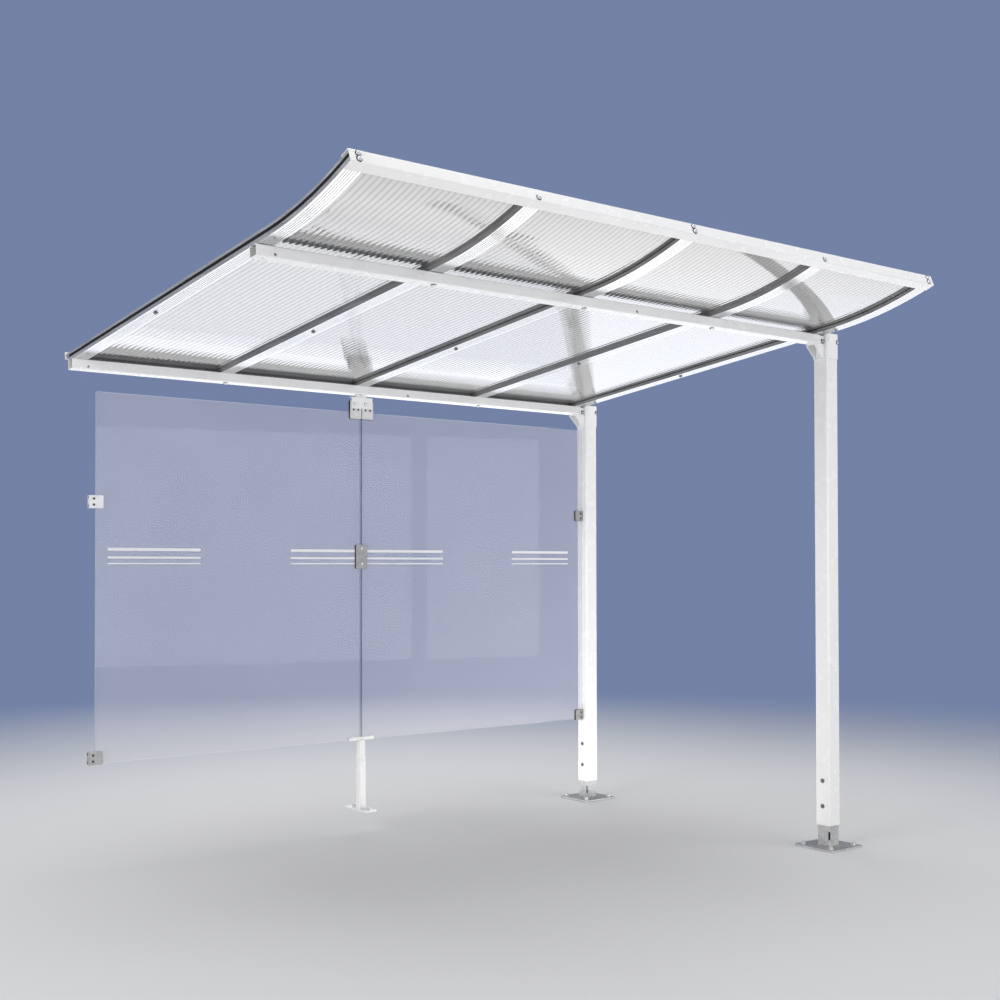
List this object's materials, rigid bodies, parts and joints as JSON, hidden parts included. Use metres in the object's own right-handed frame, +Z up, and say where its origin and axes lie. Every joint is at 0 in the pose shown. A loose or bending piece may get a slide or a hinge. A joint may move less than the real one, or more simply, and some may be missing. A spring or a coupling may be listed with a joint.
{
  "type": "bicycle shelter extension bay",
  "caption": "Open bicycle shelter bay with two white steel posts at one end, an upswept multiwall roof on curved rafters and a striped glass back panel.",
  "frame": {"origin": "middle of the front base plate's underside, which is bolted to the ground", "axes": "+X along the purlins toward the end with the posts, +Y from the open front to the glazed back, +Z up"},
  "size_m": [3.1428, 2.4621, 2.6038],
  "materials": {
    "galvanised_steel": "hot-dip galvanised, mottled matt grey",
    "white_steel": "satin white powder coat",
    "aluminium_bars": "satin anodised aluminium, with fine lines from the die",
    "black_rubber": "matt black rubber gasket",
    "clear_sheet": "translucent multiwall plastic sheet",
    "glass": "clear toughened glass, polished edges",
    "clamp_metal": "satin grey cast clamps",
    "bolt_steel": "bright stainless bolts and screws",
    "white_print": "white lines printed on the glass"
  },
  "bodies": {
    "root": {"front_base_plate": "galvanised_steel", "front_stub_tube": "galvanised_steel", "rear_base_plate": "galvanised_steel", "rear_stub_tube": "galvanised_steel", "front_post": "white_steel", "front_post_head": "white_steel", "front_bracket": "white_steel", "rear_post": "white_steel", "rear_post_head": "white_steel", "rear_bracket": "white_steel", "middle_purlin": "white_steel", "rear_gutter_purlin": "white_steel", "front_fascia": "white_steel", "glass_hanger": "white_steel", "foot_plate": "white_steel", "foot_lower_tube": "white_steel", "foot_upper_tube": "white_steel", "glass_rail": "white_steel", "left_edge_rafter": "aluminium_bars", "left_middle_rafter": "aluminium_bars", "centre_joint_rafter": "aluminium_bars", "right_middle_rafter": "aluminium_bars", "right_edge_rafter": "aluminium_bars", "left_edge_cap": "aluminium_bars", "centre_joint_cap": "aluminium_bars", "right_edge_cap": "aluminium_bars", "left_edge_gasket": "black_rubber", "centre_joint_gasket": "black_rubber", "right_edge_gasket": "black_rubber", "left_roof_sheet": "clear_sheet", "right_roof_sheet": "clear_sheet", "left_glass": "glass", "right_glass": "glass", "left_top_clamp": "clamp_metal", "right_top_clamp": "clamp_metal", "middle_clamp": "clamp_metal", "left_upper_clamp": "clamp_metal", "left_lower_clamp": "clamp_metal", "post_upper_clamp": "clamp_metal", "post_lower_clamp": "clamp_metal"}
  },
  "joints": []
}
